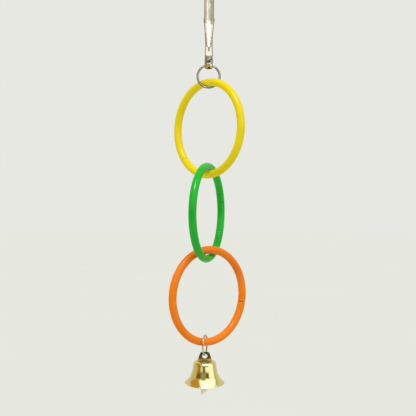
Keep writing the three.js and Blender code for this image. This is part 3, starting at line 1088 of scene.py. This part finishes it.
# clapper: a wire loop in the lug's eye, with a leaf below it that is cut to a slanted point
clapperSet = {
    "place": (-0.868 * mm, -0.923 * mm, -236.375 * mm),
    "loop": 1.7 * mm,
    "wire": 0.45 * mm,
    "loopAt": -5.55 * mm,
    "loopSteps": 48,
    "wireSides": 16,
    "sheet": 0.8 * mm,
    "edge": 0.14 * mm,
    "levels": [  # height, left edge and right edge in mm
        (-21.95, -2.1, -1.75), (-21.3, -2.14, -1.0), (-20.5, -2.2, -0.05), (-19.7, -2.26, 0.95),
        (-18.9, -2.32, 1.9), (-18.2, -2.37, 2.58), (-16, -2.45, 2.6), (-13.2, -2.5, 2.6),
        (-11.2, -2.4, 2.45), (-9.6, -2.05, 2.1), (-8.2, -1.5, 1.55), (-7.0, -0.9, 0.9),
    ],
}


def clapperLeaf():
    (level, left, right), *rest = clapperSet["levels"]
    bpy.ops.object.select_all(action="DESELECT")
    bpy.ops.mesh.primitive_plane_add(size=1, location=((left + right) / 2 * mm, 0, level * mm))
    leaf = bpy.context.object
    leaf.scale = ((right - left) * mm, clapperSet["sheet"], 1)
    settle(leaf)
    startEdit()
    for nextLevel, nextLeft, nextRight in rest:
        step = Vector(((nextLeft + nextRight - left - right) / 2, 0, nextLevel - level)) * mm
        bpy.ops.mesh.extrude_region_move(TRANSFORM_OT_translate={"value": step})
        grow = (nextRight - nextLeft) / (right - left)
        middle = ((nextLeft + nextRight) / 2 * mm, 0, nextLevel * mm)
        bpy.ops.transform.resize(value=(grow, 1, 1), center_override=middle)
        level, left, right = nextLevel, nextLeft, nextRight
    faceOut()
    endEdit()
    softenEdges(leaf, clapperSet["edge"])
    return leaf


def clapper():
    leaf = clapperLeaf()
    bpy.ops.object.select_all(action="DESELECT")
    bpy.ops.mesh.primitive_torus_add(
        major_radius=clapperSet["loop"], minor_radius=clapperSet["wire"],
        major_segments=clapperSet["loopSteps"], minor_segments=clapperSet["wireSides"],
        location=(0, 0, clapperSet["loopAt"]), rotation=(0, math.radians(90), 0))
    loop = bpy.context.object
    settle(loop)
    cutWith(leaf, loop, "UNION")
    leaf.location = clapperSet["place"]
    settle(leaf)
    smooth(leaf)
    finishPiece(leaf, "clapperLeaf", brassLeaf, "tongue", "brass", "clapper")


clapper()
print("lug and clapper modelled")


# studio: a pale floor under the toy, a pale surround and one broad soft lamp
studioSet = {
    "floorAt": -0.38,
    "floorSize": 14.0,
    "floor": (0.64, 0.647, 0.613),
    "floorDim": 0.985,
    "floorCloud": 3,
    "surround": (0.80, 0.808, 0.765),
    "sunTurn": (27, 0, 4),
    "sunStrength": 1.6,
    "sunSpread": 28,
}


def paleFloor():
    bpy.ops.object.select_all(action="DESELECT")
    bpy.ops.mesh.primitive_plane_add(size=studioSet["floorSize"], location=(0, 0, studioSet["floorAt"]))
    floor = bpy.context.object
    floor.name = "paleFloor"
    material, tree, shader = newMaterial("palePaint", Roughness=0.9, Specular_IOR_Level=0.0)
    cloud = noise(tree, objectPoint(tree), studioSet["floorCloud"], 3)
    pale = studioSet["floor"]
    dim = tuple(studioSet["floorDim"] * c for c in pale)
    tree.links.new(ramp(tree, cloud, (0.3, dim), (0.7, pale)), shader.inputs["Base Color"])
    floor.data.materials.append(material)


def paleWorld():
    world = bpy.data.worlds.new("paleSurround")
    bpy.context.scene.world = world
    world.use_nodes = True
    back = world.node_tree.nodes["Background"]
    back.inputs["Color"].default_value = (*studioSet["surround"], 1)
    back.inputs["Strength"].default_value = 1


def softLight():
    turn = tuple(math.radians(a) for a in studioSet["sunTurn"])
    bpy.ops.object.light_add(type="SUN", rotation=turn)
    sun = bpy.context.object
    sun.name = "broadLamp"
    sun.data.energy = studioSet["sunStrength"]
    sun.data.angle = math.radians(studioSet["sunSpread"])
    sun.visible_glossy = False


# painted reflections: two domes of glowing cards that only shine sees, placed in degrees right of the
# front and above level
domeSet = {"steps": (120, 40), "swayScale": 9, "liftScale": 13}
bellCards = {
    "name": "bellCards",
    "middle": (0, 0, -0.245),
    "reach": 0.45,
    "turn": (-180, 180),
    "height": (-17, 90),
    "ripple": 0.02,
    "ground": (0.72, 0.7, 0.52),
    "cards": {
        "bright": dict(turn=(2, 76), height=(-30, 90), soft=(9, 4), tone=(1.2, 1.23, 1.12)),
        "brightSide": dict(turn=(50, 96), height=(-30, 90), soft=(36, 4), tone=(1.2, 1.23, 1.12)),
        "top": dict(turn=(-36, 84), height=(23, 110), soft=(12, 8), tone=(1.7, 1.7, 1.6)),
        "amber": dict(turn=(-114, -44), height=(19, 110), soft=(14, 10), tone=(0.57, 0.32, 0.055)),
        "gold": dict(turn=(-106, -66), height=(-30, 20), soft=(9, 6), tone=(0.7, 0.53, 0.2)),
        "leftFlag": dict(turn=(-122, -112), height=(-30, 14), soft=(6, 6), tone=(0.42, 0.42, 0.19)),
        "warmFlag": dict(turn=(-72, -25), height=(-30, 1), soft=(22, 4), tone=(0.43, 0.22, 0.06)),
        "cream": dict(turn=(-38, -19), height=(-30, 2), soft=(6, 3), tone=(1.05, 0.86, 0.53)),
        "narrowFlag": dict(turn=(-18, 4), height=(-10, 3), soft=(8, 3), tone=(0.15, 0.14, 0.04)),
        "longFlag": dict(turn=(-74, 38), height=(0, 20), soft=(9, 4), tone=(0.14, 0.12, 0.03)),
        "flagGap": dict(turn=(-32, 10), height=(1, 29), soft=(12, 6), tone=(0.4, 0.34, 0.13)),
        "rightFlag": dict(turn=(92, 108), height=(-30, 46), soft=(16, 8), tone=(0.45, 0.43, 0.2)),
    },
}

# painted reflections: smaller glowing cards close in front of the clip
clipCards = {
    "name": "clipCards",
    "middle": (0, 0, -0.03),
    "reach": 0.06,
    "turn": (-140, 140),
    "height": (-16, 75),
    "ripple": 0.008,
    "ground": (0.48, 0.46, 0.37),
    "cards": {
        "leftFlag": dict(turn=(-110, -34), height=(-40, 110), soft=(24, 24), tone=(0.27, 0.26, 0.21)),
        "low": dict(turn=(-34, 38), height=(-40, 1), soft=(5, 5), tone=(1.6, 1.6, 1.5)),
        "high": dict(turn=(-34, 38), height=(14, 26), soft=(4, 4), tone=(1.6, 1.6, 1.5)),
        "strip": dict(turn=(-19, -13), height=(26, 110), soft=(3, 4), tone=(1.6, 1.6, 1.45)),
        "stripFlag": dict(turn=(7, 20), height=(26, 110), soft=(4, 4), tone=(0.2, 0.185, 0.1)),
    },
}


# a point on the dome from its shares across and up
def domePoint(look, across, up):
    left, right = look["turn"]
    foot, head = look["height"]
    turn = math.radians(left + across * (right - left))
    height = math.radians(foot + up * (head - foot))
    flat = math.cos(height)
    aim = Vector((math.sin(turn) * flat, -math.cos(turn) * flat, math.sin(height)))
    return Vector(look["middle"]) + aim * look["reach"]


def softSpan(tree, value, span, soft, whole):
    start, size = whole[0], whole[1] - whole[0]
    low, high = ((edge - start) / size for edge in span)
    half = soft / size / 2
    rise = remap(tree, value, low - half, low + half, 0, 1)
    fall = remap(tree, value, high - half, high + half, 1, 0)
    return maths(tree, "MULTIPLY", rise, fall)


# painted reflection tones: the cards' edges wander a little, and a later card lies over an earlier one
def paintedReflectionTones(look):
    material, tree, shader = newMaterial(
        look["name"] + "Tones", Base_Color=(0, 0, 0, 1), Specular_IOR_Level=0.0, Emission_Strength=1.0)
    material.cycles.emission_sampling = "NONE"
    point = addNode(tree, "TexCoord").outputs["UV"]
    x, y = splitPoint(tree, point)[:2]
    sway, lift = look["ripple"], 2 * look["ripple"]
    swayAt = remap(tree, noise(tree, point, domeSet["swayScale"], 2), 0, 1, -sway, sway)
    liftAt = remap(tree, noise(tree, point, domeSet["liftScale"], 2), 0, 1, -lift, lift)
    turnAt = maths(tree, "ADD", x, swayAt)
    heightAt = maths(tree, "ADD", y, liftAt)
    tone = look["ground"]
    for card in look["cards"].values():
        softTurn, softHeight = card["soft"]
        across = softSpan(tree, turnAt, card["turn"], softTurn, look["turn"])
        upward = softSpan(tree, heightAt, card["height"], softHeight, look["height"])
        tone = mixColours(tree, maths(tree, "MULTIPLY", across, upward), tone, card["tone"])
    tree.links.new(tone, shader.inputs["Emission Color"])
    return material


def paintedReflectionDome(look):
    columns, rows = domeSet["steps"]
    bpy.ops.object.select_all(action="DESELECT")
    bpy.ops.mesh.primitive_grid_add(x_subdivisions=columns, y_subdivisions=rows, size=1)
    dome = bpy.context.object
    dome.name = look["name"]
    for vert in dome.data.vertices:
        vert.co = domePoint(look, vert.co.x + 0.5, vert.co.y + 0.5)
    dome.data.materials.append(paintedReflectionTones(look))
    dome.visible_camera = False
    dome.visible_diffuse = False
    dome.visible_shadow = False
    dome.visible_transmission = False


# a small lamp high in front that only shine sees
shineSet = {
    "height": 66,
    "reach": 0.44,
    "size": (0.13, 0.1),
    "power": 0.8,
    "tone": (1, 1, 0.95),
}


def shineLamp():
    height = math.radians(shineSet["height"])
    middle = Vector(bellCards["middle"])
    away = Vector((0, -math.cos(height), math.sin(height))) * shineSet["reach"]
    turn = away.to_track_quat("Z", "Y").to_euler()
    bpy.ops.object.light_add(type="AREA", location=middle + away, rotation=turn)
    lamp = bpy.context.object
    lamp.name = "shineLamp"
    lamp.data.shape = "RECTANGLE"
    lamp.data.size, lamp.data.size_y = shineSet["size"]
    lamp.data.energy = shineSet["power"]
    lamp.data.color = shineSet["tone"]
    lamp.visible_camera = False
    lamp.visible_diffuse = False
    lamp.visible_transmission = False


paintedReflectionDome(bellCards)
paintedReflectionDome(clipCards)
paleFloor()
paleWorld()
softLight()
shineLamp()
bpy.context.scene.view_settings.view_transform = "Standard"
print("studio lit")
